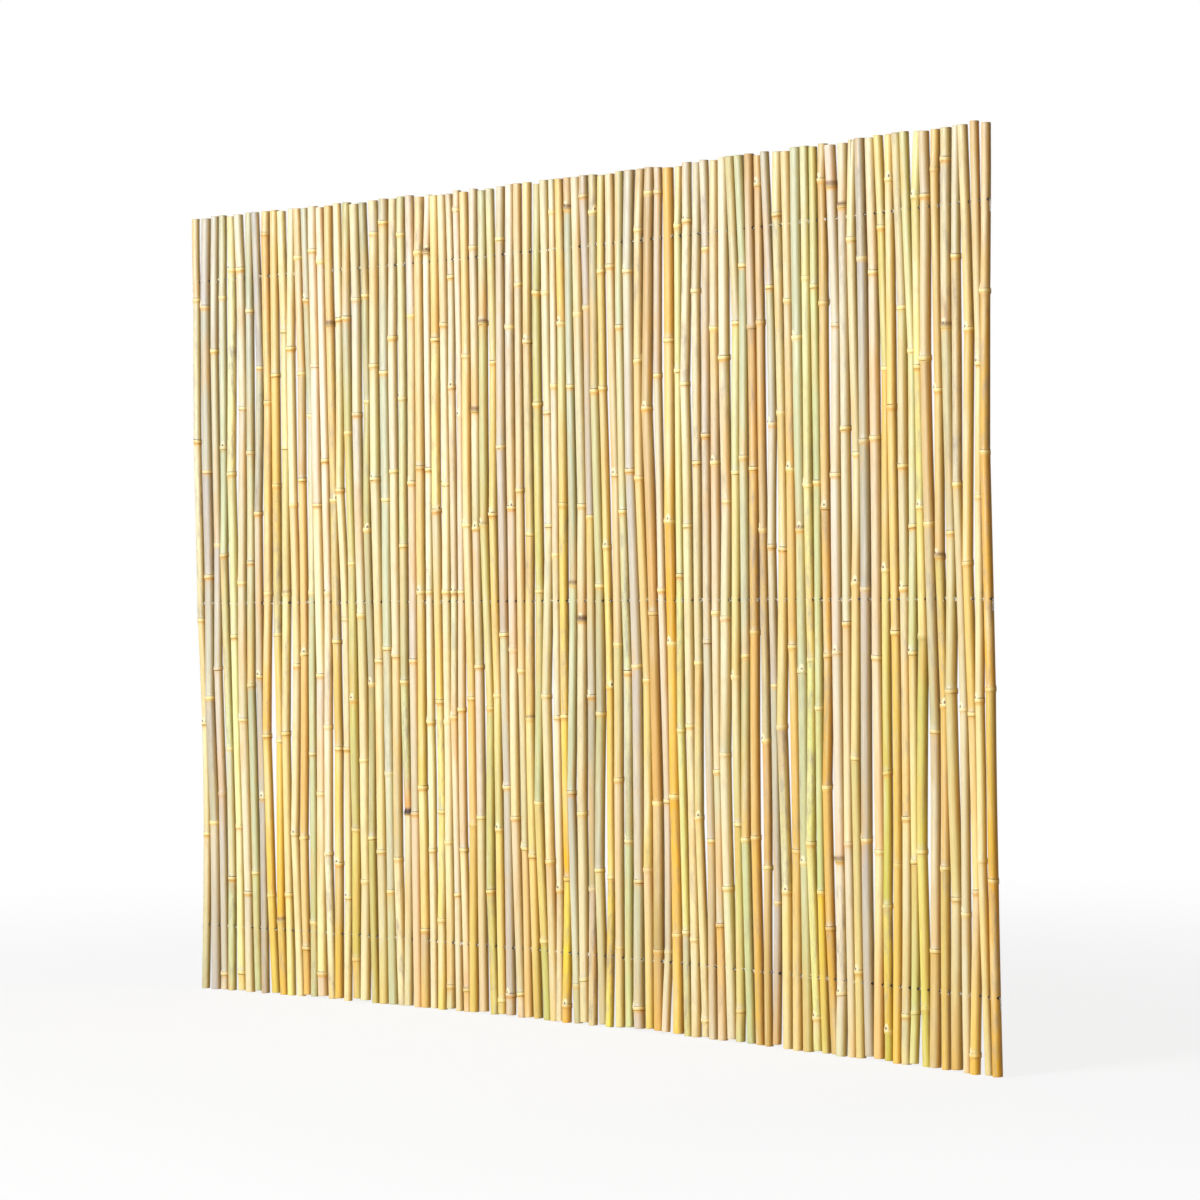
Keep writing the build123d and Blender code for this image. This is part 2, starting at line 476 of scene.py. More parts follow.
def scorch_marks(cane, nearest, from_node):
    """How burnt each point is, a bell curve at a scorched node, and how tanned, less and less
    above it."""
    count = len(cane["nodes"])
    draw = np.random.default_rng(cane["number"] + SCORCH_SEED)
    scorch = draw.uniform(*SCORCH_STRENGTH, count) * (draw.random(count) < SCORCH_SHARE)
    for node, strength in SCORCHED.get(cane["number"], {}).items():
        scorch[node] = strength
    scorch = scorch[nearest][:, None]
    fade = np.clip(1 - from_node / SCORCH_HEIGHT, 0, 1) * (from_node > 0)
    return scorch * dip(from_node, 1, SCORCH_LIFT, SCORCH_WIDTH), scorch * fade


def cane_surface(cane, origin):
    """One cane as a grid of points with the marks of its skin and the masks of its painted shade.
    Each row is a circle of its own radius about the cane's centre line. The radius rises at each
    node by its swelling, whose ring lies a little aslant, by a bud on some nodes and by long
    waves, which are cosines of the angle round the cane, and drops along a split head and at the
    drilled holes."""
    draw = np.random.default_rng(cane["number"])
    nodes = cane["nodes"]
    heights, radius, parts = cane_rows(cane)
    outside = (parts == "skin")[:, None]
    angle, height = np.meshgrid(cane_columns(cane["diameter"] / 2), heights)

    nearest = np.abs(heights[:, None] - nodes[None, :]).argmin(axis=1)
    slant = draw.uniform(0, RING_SLANT, len(nodes))[nearest][:, None]
    slant_to = draw.uniform(0, 2 * math.pi, len(nodes))[nearest][:, None]
    from_node = height - nodes[nearest][:, None] - slant * np.cos(angle - slant_to)
    swell = cane["swells"][nearest][:, None]
    grid_radius = radius[:, None] + outside * swelling(from_node) * FULLNESS * swell

    bud, bud_size = grow_buds(draw, nearest, len(nodes), angle, radius, from_node)
    bud = outside * bud
    grid_radius += bud_size * bud
    split = split_head(cane, heights, radius, parts, angle.shape[1])
    grid_radius -= SPLIT_DEPTH * split
    for waves in WAVES_ROUND:
        size = draw.uniform(*WAVE_SIZE)
        start = draw.uniform(0, 2 * math.pi)
        pitch = draw.uniform(*WAVE_PITCH)
        grid_radius += outside * size * np.cos(waves * angle + start + pitch * height)
    reach = from_holes(draw, cane, angle, height)
    pit = outside * np.clip((PIT_EDGE - reach) / EDGE_WIDTH, 0, 1)
    grid_radius -= DRILL_DEPTH * smooth_step(pit)

    height = cut_aslant(draw, cane, heights, angle, height)
    aside, back = centre_line(draw, cane, heights)
    round_angle = turned_columns(heights, radius, back, angle)
    cosine = np.cos(round_angle)
    local_x = grid_radius * cosine
    local_y = grid_radius * np.sin(round_angle)
    points = to_panel(
        cane["place"], origin, aside[:, None] + local_x, back[:, None] + local_y, height
    )
    low, high = np.array(cad_box[0]) + BOX_MARGIN, np.array(cad_box[1]) - BOX_MARGIN

    plainness = draw.beta(*PLAINNESS, (3, len(nodes)))[:, nearest].T[:, None, :]
    near_node = np.clip(MARK_FADE * (1 - np.abs(from_node) / MARK_REACH), 0, 1)[..., None]
    weather = draw.beta(*WEATHERING, len(nodes) + 1)[np.searchsorted(nodes, heights)]
    burnt, tanned = scorch_marks(cane, nearest, from_node)
    place = [local_x, local_y, height + cane["number"] * PLACE_STEP]
    return {
        "points": np.clip(points, low, high),
        "parts": parts,
        "place": np.stack(place, axis=-1),
        "from_node": from_node,
        "node_marks": near_node * plainness,
        # Mask of the painted shade on the cane's sides, weaker on the left side
        "side": cosine ** 2 * np.where(cosine > 0, 1, FAR_SIDE_SHADE),
        # Mask of the painted shade in the drilled holes, reaching a little past their pits
        "drilled": outside * np.clip((HOLE_SHADE_EDGE - reach) / EDGE_WIDTH, 0, 1),
        "bud": bud,
        "split": split,
        "burnt": burnt,
        "tanned": tanned,
        "weather": np.broadcast_to(weather[:, None], angle.shape),
        "colour": cane_colour(cane, heights, from_node, draw),
    }


def cane_colour(cane, heights, from_node, draw):
    """Skin colour of each point. Each stretch between nodes goes evenly from one tint to
    another, both near the cane's own, and at the ring the next stretch takes over in a few
    millimetres. Paler and greyer towards the head, darker and stronger towards the right."""
    share = cane["share"]
    weights = np.array([left * (1 - share) + right * share for _, left, right in SKINS.values()])
    weights = weights / weights.sum()
    tints = np.array([tint for tint, _, _ in SKINS.values()])
    own = tints[draw.choice(len(tints), p=weights)]
    stretches = len(cane["nodes"]) + 1
    others = tints[draw.choice(len(tints), (stretches, 2), p=weights)]
    blend = draw.beta(*TINT_BLEND, (stretches, 2, 1))
    level = draw.normal(0, STRETCH_LEVEL, (stretches, 2, 1)) + draw.normal(0, CANE_LEVEL)
    ends = (own * (1 - blend) + others * blend) * np.exp(level)

    def along(stretch):
        """The tint of a stretch at each row, held beyond its ends."""
        low, high = cane["knots"][stretch], cane["knots"][stretch + 1]
        way = np.clip((heights - low) / (high - low), 0, 1)[:, None]
        return (ends[stretch, 0] * (1 - way) + ends[stretch, 1] * way)[:, None, :]

    nearest = np.abs(heights[:, None] - cane["nodes"][None, :]).argmin(axis=1)
    over = np.clip(from_node / TINT_CHANGE + 0.5, 0, 1)[..., None]
    colour = along(nearest) * (1 - over) + along(nearest + 1) * over
    up = np.clip(heights / PANEL_HEIGHT, 0, 1)[:, None, None]
    saturation = SATURATION + SATURATION_RIGHT * share + SATURATION_HEAD * up
    saturation = saturation * np.exp(draw.normal(0, SATURATION_SPREAD))
    grey = colour.mean(axis=-1, keepdims=True)
    brightness = BRIGHTNESS + BRIGHTNESS_RIGHT * share
    return np.clip((grey + (colour - grey) * saturation) * brightness, 0.01, 0.95)


def closed_grid(rows, columns):
    """Faces of a grid that is closed round its columns and has a pole beyond its first and its
    last row."""
    here = np.arange(rows * columns).reshape(rows, columns)
    there = np.roll(here, -1, axis=1)
    quads = np.stack([here[:-1], there[:-1], there[1:], here[1:]], axis=-1).reshape(-1, 4)
    first_pole, last_pole = np.full((2, columns), [[rows * columns], [rows * columns + 1]])
    first_fan = np.stack([first_pole, there[0], here[0]], axis=-1)
    last_fan = np.stack([last_pole, here[-1], there[-1]], axis=-1)
    return quads, np.concatenate([first_fan, last_fan])


def put_mesh(name, points, quads, triangles, materials, kinds=None):
    """A mesh object from whole arrays: points, then quads, then triangles."""
    mesh = bpy.data.meshes.new(name)
    mesh.vertices.add(len(points))
    mesh.vertices.foreach_set("co", points.astype(np.float32).ravel())
    corners = np.concatenate([quads.ravel(), triangles.ravel()]).astype(np.int32)
    sizes = np.concatenate([np.full(len(quads), 4), np.full(len(triangles), 3)])
    starts = np.concatenate([[0], np.cumsum(sizes)[:-1]]).astype(np.int32)
    mesh.loops.add(len(corners))
    mesh.loops.foreach_set("vertex_index", corners)
    mesh.polygons.add(len(sizes))
    mesh.polygons.foreach_set("loop_start", starts)
    for material in materials:
        mesh.materials.append(material)
    if kinds is not None:
        mesh.polygons.foreach_set("material_index", kinds.astype(np.int32))
    mesh.update(calc_edges=True)
    mesh.validate()
    mesh.shade_smooth()
    mesh.set_sharp_from_angle(angle=SHARP_ANGLE)
    piece = bpy.data.objects.new(name, mesh)
    bpy.context.scene.collection.objects.link(piece)
    return piece


def set_attribute(mesh, name, kind, values):
    """Writes one value, vector or colour for each point of the mesh."""
    fields = {"FLOAT": "value", "FLOAT_VECTOR": "vector", "FLOAT_COLOR": "color"}
    attribute = mesh.attributes.new(name, kind, "POINT")
    attribute.data.foreach_set(fields[kind], values.astype(np.float32).ravel())


def with_poles(grid):
    """A grid's values with those of its two poles added: the middle of its first and of its
    last row."""
    flat = grid.reshape(-1, *grid.shape[2:])
    return np.concatenate([flat, [grid[0].mean(axis=0)], [grid[-1].mean(axis=0)]])


def make_cane_pair(name, surfaces, materials):
    """Two neighbouring canes as one piece, standing for their node of the model. The materials
    are those of the skin, of the sawn ends and of the hollows, in this order."""
    skin, sawn, hollow = range(3)
    quads, triangles, quad_kinds = [], [], []
    count = 0
    for surface in surfaces:
        rows, columns = surface["points"].shape[:2]
        grid_quads, fans = closed_grid(rows, columns)
        quads.append(grid_quads + count)
        triangles.append(fans + count)
        below, above = surface["parts"][:-1], surface["parts"][1:]
        kinds = np.where((below == "sawn") & (above == "sawn"), sawn, hollow)
        kinds[(below == "skin") | (above == "skin")] = skin
        quad_kinds.append(np.repeat(kinds, columns))
        count += rows * columns + 2
    quads, triangles = np.concatenate(quads), np.concatenate(triangles)
    kinds = np.concatenate(quad_kinds + [np.full(len(triangles), hollow)])
    values = {
        key: np.concatenate([with_poles(surface[key]) for surface in surfaces])
        for key in ("points", "place", "node_marks", "from_node", "colour") + PLAIN_MARKS
    }
    piece = put_mesh(name, values["points"], quads, triangles, materials, kinds)
    set_attribute(piece.data, "place", "FLOAT_VECTOR", values["place"])
    from_node = np.clip(values["from_node"] / MARK_REACH, -1, 1)
    set_attribute(piece.data, "from_node", "FLOAT", from_node)
    for key in PLAIN_MARKS:
        set_attribute(piece.data, key, "FLOAT", values[key])
    set_attribute(piece.data, "node_marks", "FLOAT_VECTOR", values["node_marks"])
    colour = np.concatenate([values["colour"], np.ones((count, 1))], axis=1)
    set_attribute(piece.data, "skin_colour", "FLOAT_COLOR", colour)
    return piece


def new_material(name):
    """An empty material with its output and a Principled BSDF."""
    material = bpy.data.materials.new(name)
    material.use_nodes = True
    nodes = material.node_tree.nodes
    nodes.clear()
    output = nodes.new("ShaderNodeOutputMaterial")
    skin = nodes.new("ShaderNodeBsdfPrincipled")
    material.node_tree.links.new(skin.outputs["BSDF"], output.inputs["Surface"])
    return material, skin


def attribute_outputs(tree, name):
    """The outputs of an Attribute node that reads one attribute of the mesh."""
    node = tree.nodes.new("ShaderNodeAttribute")
    node.attribute_name = name
    return node.outputs


def object_place(tree):
    """Object coordinates."""
    return tree.nodes.new("ShaderNodeTexCoord").outputs["Object"]


def math_node(tree, operation, first, second):
    """A Math node. Either input may be a number or another node's output."""
    node = tree.nodes.new("ShaderNodeMath")
    node.operation = operation
    for socket, value in zip(node.inputs, (first, second)):
        if isinstance(value, (int, float)):
            socket.default_value = value
        else:
            tree.links.new(value, socket)
    return node.outputs[0]


def mix_colour(tree, share, first, second, blend="MIX"):
    """A colour Mix node. Share is an output; the colours may be triples or outputs."""
    node = tree.nodes.new("ShaderNodeMix")
    node.data_type = "RGBA"
    node.blend_type = blend
    factor, first_colour, second_colour = (node.inputs[number] for number in (0, 6, 7))
    tree.links.new(share, factor)
    for socket, value in ((first_colour, first), (second_colour, second)):
        if isinstance(value, (tuple, np.ndarray)):
            socket.default_value = (*value, 1)
        else:
            tree.links.new(value, socket)
    return node.outputs[2]


def noise_node(tree, vector, scale, detail, roughness):
    """A Noise Texture's value."""
    node = tree.nodes.new("ShaderNodeTexNoise")
    node.inputs["Scale"].default_value = scale
    node.inputs["Detail"].default_value = detail
    node.inputs["Roughness"].default_value = roughness
    tree.links.new(vector, node.inputs["Vector"])
    return node.outputs["Fac"]


def stretched(tree, vector, scale):
    """A Mapping node that only scales."""
    node = tree.nodes.new("ShaderNodeMapping")
    node.inputs["Scale"].default_value = scale
    tree.links.new(vector, node.inputs["Vector"])
    return node.outputs["Vector"]


def remap(tree, value, low, high, to_low=0.0, to_high=1.0):
    """Maps a value from one range to another, smoothly, and clamps it."""
    node = tree.nodes.new("ShaderNodeMapRange")
    node.interpolation_type = "SMOOTHSTEP"
    for socket, number in zip(node.inputs[1:5], (low, high, to_low, to_high)):
        socket.default_value = number
    tree.links.new(value, node.inputs[0])
    return node.outputs[0]


def two_tints(tree, value, low, high, first, second):
    """Goes from one tint to another while a value goes from low to high."""
    return mix_colour(tree, remap(tree, value, low, high), display(*first), display(*second))


def fibre_group():
    """The shared noises of cane, all drawn out along it: fine streaks, broad soft streaks,
    cloudy mottling, specks, smudges of weathering and long changes of tone."""
    tree = bpy.data.node_groups.new("cane fibres", "ShaderNodeTree")
    tree.interface.new_socket("Place", in_out="INPUT", socket_type="NodeSocketVector")
    for name in FIBRE_NOISES:
        tree.interface.new_socket(name, in_out="OUTPUT", socket_type="NodeSocketFloat")
    given, put = tree.nodes.new("NodeGroupInput"), tree.nodes.new("NodeGroupOutput")
    for name, (squeeze, scale, detail, roughness) in FIBRE_NOISES.items():
        place = stretched(tree, given.outputs["Place"], (1, 1, squeeze))
        tree.links.new(noise_node(tree, place, scale, detail, roughness), put.inputs[name])
    return tree


def use_group(tree, group, place):
    """The outputs of the fibre group at a place."""
    node = tree.nodes.new("ShaderNodeGroup")
    node.node_tree = group
    tree.links.new(place, node.inputs["Place"])
    return node.outputs


def add_bump(tree, skin, height, distance, strength):
    """Fine relief on a shader."""
    bump = tree.nodes.new("ShaderNodeBump")
    bump.inputs["Distance"].default_value = distance
    bump.inputs["Strength"].default_value = strength
    tree.links.new(height, bump.inputs["Height"])
    tree.links.new(bump.outputs["Normal"], skin.inputs["Normal"])


def cane_skin(fibres):
    """Waxy dry skin of bamboo. Over its own tint lie, in this order: long tanned and long pale
    stretches, fine brown and broad pale fibres, warm mottling, grey and brown weathering with
    specks, the tan above a scorched node, and at each node a grey bloom that fades out upwards,
    a golden zone below, a cream band with a golden underside that is painted shade under the
    swelling and a pale lip that is a painted highlight on the ridge, a thin broken brown ring
    and a fine scar. Then come the pale bud with its dark eye, brown and black scorching, the
    painted shade of the neighbours on the sides, and the painted shade in the drilled holes,
    reaching a little past their pits, and in the groove of a split head. Heights from the node
    run from -1 to 1 over the reach of its marks."""
    material, skin = new_material("cane_skin")
    tree = material.node_tree
    place = attribute_outputs(tree, "place")["Vector"]
    grain = use_group(tree, fibres, place)
    weather = attribute_outputs(tree, "weather")["Fac"]
    from_node = attribute_outputs(tree, "from_node")["Fac"]
    marks = tree.nodes.new("ShaderNodeSeparateXYZ")
    tree.links.new(attribute_outputs(tree, "node_marks")["Vector"], marks.inputs[0])
    band_shown, ring_shown, bloom_shown = marks.outputs
    colour = attribute_outputs(tree, "skin_colour")["Color"]

    def lay(mask, strength, tint, blend="MIX"):
        """The colour so far with a tint laid over it."""
        share = math_node(tree, "MULTIPLY", mask, strength)
        return mix_colour(tree, share, colour, display(*tint), blend)

    def both(first, second):
        """Where both masks are, or a mask made weaker by a number."""
        return math_node(tree, "MULTIPLY", first, second)

    def zone(start, full, fading, gone):
        """A soft-edged zone between two heights from the node."""
        rising = remap(tree, from_node, start, full)
        return both(rising, remap(tree, from_node, gone, fading))

    colour = lay(remap(tree, grain["Long"], 0.52, 0.74), 0.50, (236, 178, 88))
    colour = lay(remap(tree, grain["Long"], 0.46, 0.28), 0.40, (236, 234, 206))
    colour = lay(remap(tree, grain["Streaks"], 0.38, 0.72), 0.18, (150, 104, 50))
    colour = lay(remap(tree, grain["Broad"], 0.48, 0.75), 0.25, (250, 240, 212))
    colour = lay(remap(tree, grain["Cloud"], 0.52, 0.74), 0.24, (216, 176, 96))
    smudge = both(remap(tree, grain["Smudge"], 0.44, 0.66), weather)
    colour = lay(smudge, 0.7, (170, 158, 146))
    colour = lay(both(remap(tree, grain["Smudge"], 0.60, 0.74), weather), 0.5, (112, 98, 88))
    colour = lay(both(remap(tree, grain["Specks"], 0.66, 0.72), weather), 0.7, (86, 62, 38))
    colour = lay(attribute_outputs(tree, "tanned")["Fac"], 0.85, (226, 148, 60))

    colour = lay(both(zone(0.04, 0.10, 0.15, 0.95), bloom_shown), 0.55, (214, 210, 190))
    colour = lay(both(zone(-1.0, -0.5, -0.1, 0.0), ring_shown), 0.50, (228, 172, 78))
    band = both(zone(-0.60, -0.34, 0.03, 0.12), band_shown)
    band = both(band, remap(tree, grain["Cloud"], 0.28, 0.60, 0.55, 1.0))
    colour = lay(band, 0.85, (248, 228, 148))
    # Golden underside of the node's band: painted shade under the swelling
    colour = lay(both(zone(-0.62, -0.48, -0.34, -0.20), ring_shown), 0.7, (226, 166, 66))
    # Pale lip on the node's ridge: a painted highlight
    colour = lay(both(zone(-0.16, -0.09, -0.01, 0.04), band_shown), 0.55, (252, 240, 200))
    ring = both(zone(0.01, 0.05, 0.11, 0.16), remap(tree, grain["Cloud"], 0.62, 0.42, 0.15, 1.0))
    colour = lay(both(ring, ring_shown), 0.95, (104, 66, 26))
    scar = both(zone(-0.42, -0.37, -0.31, -0.26), remap(tree, grain["Cloud"], 0.36, 0.54))
    colour = lay(both(scar, bloom_shown), 0.9, (128, 92, 36))

    bud = attribute_outputs(tree, "bud")["Fac"]
    colour = lay(remap(tree, bud, 0.12, 0.40), 0.75, (250, 240, 196))
    colour = lay(remap(tree, bud, 0.66, 0.86), 0.85, (112, 76, 36))
    burnt = attribute_outputs(tree, "burnt")["Fac"]
    colour = lay(remap(tree, burnt, 0.02, 0.30), 0.65, (120, 76, 36))
    colour = lay(remap(tree, burnt, 0.30, 0.75), 0.95, (66, 46, 46))
    # Painted shade on the cane's sides, where the neighbours would shade them: a darker warm tint
    # multiplied in
    side = attribute_outputs(tree, "side")["Fac"]
    colour = lay(remap(tree, side, 0.30, 1.0), 0.9, (212, 186, 124), "MULTIPLY")
    # Painted shade in the drilled holes, reaching a little past their pits
    drilled = attribute_outputs(tree, "drilled")["Fac"]
    colour = lay(remap(tree, drilled, 0.05, 0.6), 0.96, (40, 26, 14))
    # Painted shade in the groove of the split head
    split = attribute_outputs(tree, "split")["Fac"]
    colour = lay(remap(tree, split, 0.58, 0.78), 0.95, (74, 50, 28))
    tree.links.new(colour, skin.inputs["Base Color"])

    rough = remap(tree, grain["Cloud"], 0.3, 0.7, 0.34, 0.50)
    rough = math_node(tree, "ADD", rough, both(smudge, 0.15))
    rough = math_node(tree, "ADD", rough, both(band, 0.1))
    tree.links.new(rough, skin.inputs["Roughness"])
    skin.inputs["Specular IOR Level"].default_value = 0.5
    relief = math_node(tree, "ADD", both(grain["Streaks"], 0.6), grain["Broad"])
    add_bump(tree, skin, relief, 0.00025, 0.6)
    return material


def sawn_end(fibres):
    """Sawn cross face: pale woody wall with the dark dots of the fibre bundles."""
    material, skin = new_material("sawn_end")
    tree = material.node_tree
    place = attribute_outputs(tree, "place")["Vector"]
    grain = use_group(tree, fibres, place)
    dots = tree.nodes.new("ShaderNodeTexVoronoi")
    dots.inputs["Scale"].default_value = 1400
    tree.links.new(place, dots.inputs["Vector"])
    dark = remap(tree, dots.outputs["Distance"], 0.34, 0.14, 0.0, 0.5)
    colour = two_tints(tree, grain["Cloud"], 0.35, 0.7, (240, 224, 184), (214, 184, 132))
    colour = mix_colour(tree, dark, colour, display(128, 92, 52))
    tree.links.new(colour, skin.inputs["Base Color"])
    rough = remap(tree, grain["Specks"], 0.3, 0.7, 0.75, 0.95)
    tree.links.new(rough, skin.inputs["Roughness"])
    add_bump(tree, skin, dots.outputs["Distance"], 0.0003, 0.8)
    return material


def cane_hollow(fibres):
    """Inside of a cane: papery pith with broad pale and brown streaks."""
    material, skin = new_material("cane_hollow")
    tree = material.node_tree
    grain = use_group(tree, fibres, attribute_outputs(tree, "place")["Vector"])
    colour = two_tints(tree, grain["Broad"], 0.3, 0.7, (206, 176, 124), (150, 112, 66))
    tree.links.new(colour, skin.inputs["Base Color"])
    rough = remap(tree, grain["Cloud"], 0.3, 0.7, 0.8, 0.95)
    tree.links.new(rough, skin.inputs["Roughness"])
    add_bump(tree, skin, grain["Streaks"], 0.0004, 0.7)
    return material


def galvanised():
    """Dull zinc on drawn wire: darker and lighter grey patches and fine pits."""
    material, skin = new_material("galvanised_wire")
    tree = material.node_tree
    place = object_place(tree)
    patches = noise_node(tree, place, 220, 3, 0.6)
    pits = noise_node(tree, place, 2600, 2, 0.5)
    colour = two_tints(tree, patches, 0.35, 0.65, (158, 154, 146), (200, 196, 188))
    tree.links.new(colour, skin.inputs["Base Color"])
    tree.links.new(remap(tree, patches, 0.3, 0.7, 0.32, 0.55), skin.inputs["Roughness"])
    skin.inputs["Metallic"].default_value = 0.9
    add_bump(tree, skin, pits, 0.0001, 0.5)
    return material


def splinter_wood(fibres):
    """Torn pale fibres round the drilled holes."""
    material, skin = new_material("splinter_wood")
    tree = material.node_tree
    grain = use_group(tree, fibres, object_place(tree))
    colour = two_tints(tree, grain["Cloud"], 0.3, 0.7, (253, 250, 238), (240, 226, 190))
    tree.links.new(colour, skin.inputs["Base Color"])
    rough = remap(tree, grain["Specks"], 0.3, 0.7, 0.6, 0.85)
    tree.links.new(rough, skin.inputs["Roughness"])
    return material


def draw_splinters(canes, origin):
    """Roots, ways, bends and thicknesses of the torn fibres at every drilled hole but the
    outermost. They stand on the skin at the hole or just in front of it and point outwards."""
    draw = np.random.default_rng(SPLINTER_SEED)
    up = np.array([0, 0, 1])
    roots, ways, bends, sizes = [], [], [], []

    def fill_hole(hole, side, tangent, normal, radius):
        """The splinters of one hole, whose middle is given inside the cane."""
        for _ in range(int(MOST_SPLINTERS * draw.random() ** 2)):
            forward = draw.uniform(0, SPLINTER_FORWARD) / radius
            outward = side * tangent * math.cos(forward) - normal * math.sin(forward)
            rise = draw.uniform(-1.3, 1.3)
            roots.append(hole + outward * (radius - SPLINTER_ROOT) + up * HOLE_RADIUS * rise)
            way = outward * draw.uniform(0.2, 0.9) + up * rise * draw.uniform(0, 1.0)
            way += side * tangent * draw.uniform(-0.3, 0.6) - normal * draw.uniform(0, 0.8)
            ways.append(way / np.linalg.norm(way) * draw.uniform(*SPLINTER_LENGTH))
            bends.append(draw.normal(0, SPLINTER_BEND, 3))
            sizes.append(draw.uniform(*SPLINTER_RADIUS))

    for cane in canes:
        turn = cane["place"] / BOW_RADIUS
        tangent = np.array([math.cos(turn), -math.sin(turn), 0])
        normal = np.array([math.sin(turn), math.cos(turn), 0])
        for wire_height in WIRE_HEIGHTS:
            aside = np.interp(wire_height, cane["knots"], cane["along"])
            radius = side_reach(cane, wire_height, 1) - aside
            hole = to_panel(cane["place"], origin, aside, 0.0, wire_height)
            for side, end_cane in ((-1, canes[0]), (1, canes[-1])):
                if cane is not end_cane:
                    fill_hole(hole, side, tangent, normal, radius)
    return map(np.array, (roots, ways, bends, sizes))


def make_splinters(canes, origin, material):
    """The torn fibres as thin three-sided spikes on bent lines. A spike's middle lies at
    root + way * t + bend * t^2, with t from 0 to 1 and its thickness shrinking along it."""
    roots, ways, bends, sizes = draw_splinters(canes, origin)
    steps = np.array([0.0, 0.5, 1.0])
    line = roots[:, None] + ways[:, None] * steps[None, :, None]
    line = line + bends[:, None] * (steps ** 2)[None, :, None]
    across = np.cross(ways, [0.31, 0.54, 0.78])
    across /= np.linalg.norm(across, axis=1, keepdims=True)
    other = np.cross(ways / np.linalg.norm(ways, axis=1, keepdims=True), across)
    corner = np.array([0, 2 * math.pi / 3, 4 * math.pi / 3])[None, None, :, None]
    ring = across[:, None, None] * np.cos(corner) + other[:, None, None] * np.sin(corner)
    thickness = sizes[:, None] * (1 - SPLINTER_TAPER * steps)[None, :]
    points = line[:, :, None] + thickness[:, :, None, None] * ring

    first_point = np.arange(len(roots)) * steps.size * 3
    here = first_point[:, None, None] + np.arange(2)[None, :, None] * 3 + np.arange(3)
    there = np.roll(here, -1, axis=-1)
    quads = np.stack([here, there, there + 3, here + 3], axis=-1)
    first_end = first_point[:, None] + np.array([2, 1, 0])
    last_end = first_point[:, None] + np.array([6, 7, 8])
    return put_mesh("drilling_splinters", points.reshape(-1, 3), quads.reshape(-1, 4),
                    np.concatenate([first_end, last_end]), [material])


def make_floor():
    """A wide pale floor that shades under the fence and is plain white further off."""
    corners = np.array([[-1, -1, 0], [1, -1, 0], [1, 1, 0], [-1, 1, 0]]) * FLOOR_SIZE
    material, skin = new_material("studio_floor")
    tree = material.node_tree
    place = object_place(tree)
    grain = noise_node(tree, place, 40, 2, 0.5)
    colour = mix_colour(tree, grain, (0.90, 0.90, 0.90), (0.92, 0.92, 0.92))
    tree.links.new(colour, skin.inputs["Base Color"])
    skin.inputs["Roughness"].default_value = 0.9
    skin.inputs["Specular IOR Level"].default_value = 0.0
    white = tree.nodes.new("ShaderNodeEmission")
    light_path = tree.nodes.new("ShaderNodeLightPath")
    distance = tree.nodes.new("ShaderNodeVectorMath")
    distance.operation = "LENGTH"
    tree.links.new(place, distance.inputs[0])
    far = remap(tree, distance.outputs["Value"], *FLOOR_FADE, FLOOR_WHITE, 1.0)
    seen = math_node(tree, "MULTIPLY", far, light_path.outputs["Is Camera Ray"])
    mix = tree.nodes.new("ShaderNodeMixShader")
    tree.links.new(seen, mix.inputs[0])
    tree.links.new(skin.outputs["BSDF"], mix.inputs[1])
    tree.links.new(white.outputs["Emission"], mix.inputs[2])
    output = next(node for node in tree.nodes if node.type == "OUTPUT_MATERIAL")
    tree.links.new(mix.outputs["Shader"], output.inputs["Surface"])
    no_triangles = np.zeros((0, 3), int)
    floor = put_mesh("studio_floor", corners, np.array([[0, 1, 2, 3]]), no_triangles, [material])


def make_world():
    """White all round for the camera, and a weak even light for everything else."""
    world = bpy.data.worlds.new("studio")
    world.use_nodes = True
    bpy.context.scene.world = world
    tree = world.node_tree
    tree.nodes.clear()
    output = tree.nodes.new("ShaderNodeOutputWorld")
    light_path = tree.nodes.new("ShaderNodeLightPath")
    background = tree.nodes.new("ShaderNodeBackground")
    background.inputs["Color"].default_value = (1, 1, 1, 1)
    strength = tree.nodes.new("ShaderNodeMix")
    tree.links.new(light_path.outputs["Is Camera Ray"], strength.inputs[0])
    strength.inputs[2].default_value = WORLD_STRENGTH
    strength.inputs[3].default_value = 1.0
    tree.links.new(strength.outputs[0], background.inputs["Strength"])
    tree.links.new(background.outputs["Background"], output.inputs["Surface"])


def add_lamp(name, place, target, size, power):
    """A white softbox that faces a target."""
    lamp = bpy.data.lights.new(name, "AREA")
    lamp.shape = "RECTANGLE"
    lamp.size, lamp.size_y = size
    lamp.energy = power
    holder = bpy.data.objects.new(name, lamp)
    holder.location = place
    aim = Vector(target) - Vector(place)
    holder.rotation_euler = aim.to_track_quat("-Z", "Y").to_euler()
    bpy.context.scene.collection.objects.link(holder)


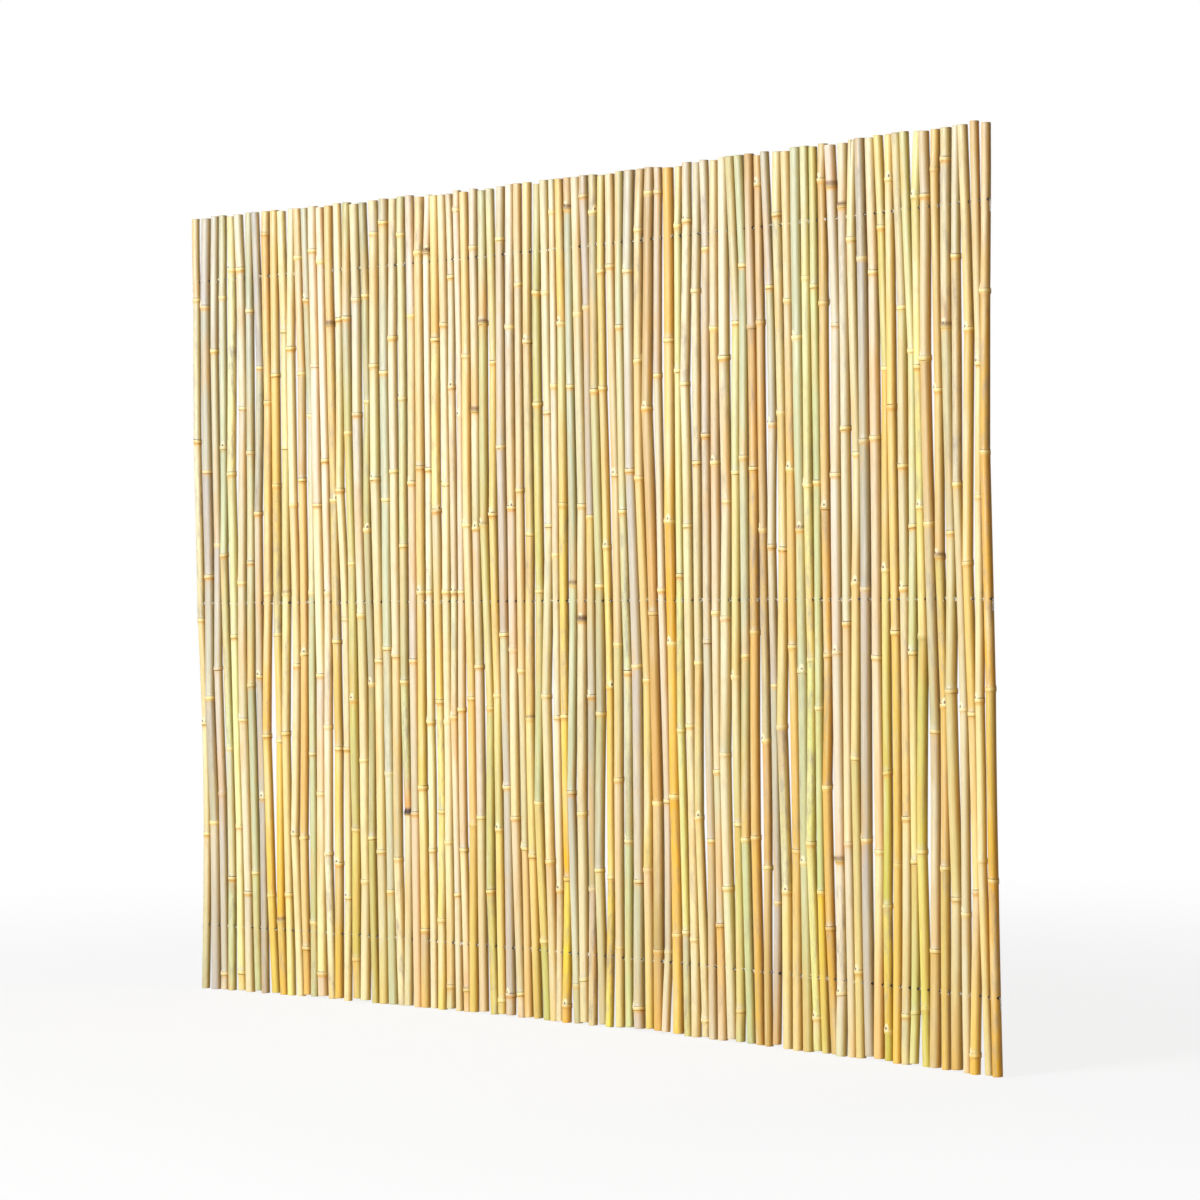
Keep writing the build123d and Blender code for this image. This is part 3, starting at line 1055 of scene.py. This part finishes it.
def add_camera(origin):
    """The photograph's view: from the right, level with the middle, with a long lens held a
    little askew."""
    turn = math.radians(45.46)
    distance, aside, height = 7.984, 0.045, 0.969
    upward, askew = math.radians(-0.384), math.radians(0.73)
    focal_pixels, frame_pixels, sensor, clip_end = 3700, 1200, 36.0, 500
    camera = bpy.data.cameras.new("camera")
    camera.sensor_width = sensor
    camera.lens = focal_pixels / frame_pixels * sensor
    camera.clip_end = clip_end
    holder = bpy.data.objects.new("camera", camera)
    holder.location = (
        origin[0] + distance * math.sin(turn) + aside * math.cos(turn),
        origin[1] - distance * math.cos(turn) + aside * math.sin(turn),
        height,
    )
    look = Vector((
        -math.sin(turn) * math.cos(upward),
        math.cos(turn) * math.cos(upward),
        math.sin(upward),
    ))
    level = look.to_track_quat("-Z", "Y")
    holder.rotation_euler = (level @ Quaternion((0, 0, 1), -askew)).to_euler()
    bpy.context.scene.collection.objects.link(holder)
    bpy.context.scene.camera = holder


canes = [grow_cane(number) for number in range(1, CANE_COUNT + 1)]
lay_out(canes)
origin = bow_origin(canes)
add_camera(origin)
make_floor()
make_world()
add_lamp("key", (-0.3, -6.5, 3.2), (0, 0, 0.9), (2.2, 2.8), 450)
add_lamp("fill", (5.0, -5.0, 2.2), (0, 0, 0.9), (4.0, 4.0), 25)
add_lamp("back", (-1.5, 6.5, 3.2), (0, 0, 0.9), (4.0, 3.0), 110)

fibres = fibre_group()
cane_materials = [cane_skin(fibres), sawn_end(fibres), cane_hollow(fibres)]
wire_material = galvanised()
for first in range(0, CANE_COUNT, 2):
    number = first // 2 + 1
    node = f"cane_pair_{number:02d}"
    surfaces = [cane_surface(cane, origin) for cane in canes[first:first + 2]]
    piece = make_cane_pair(f"canes_{number:02d}", surfaces, cane_materials)
    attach(piece, "root")
    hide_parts(node)
for name in ("top_wire", "middle_wire", "bottom_wire"):
    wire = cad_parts[name]
    wire.data.materials.clear()
    wire.data.materials.append(wire_material)
splinters = make_splinters(canes, origin, splinter_wood(fibres))
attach(splinters, "root")

bpy.context.scene.view_settings.view_transform = "Standard"
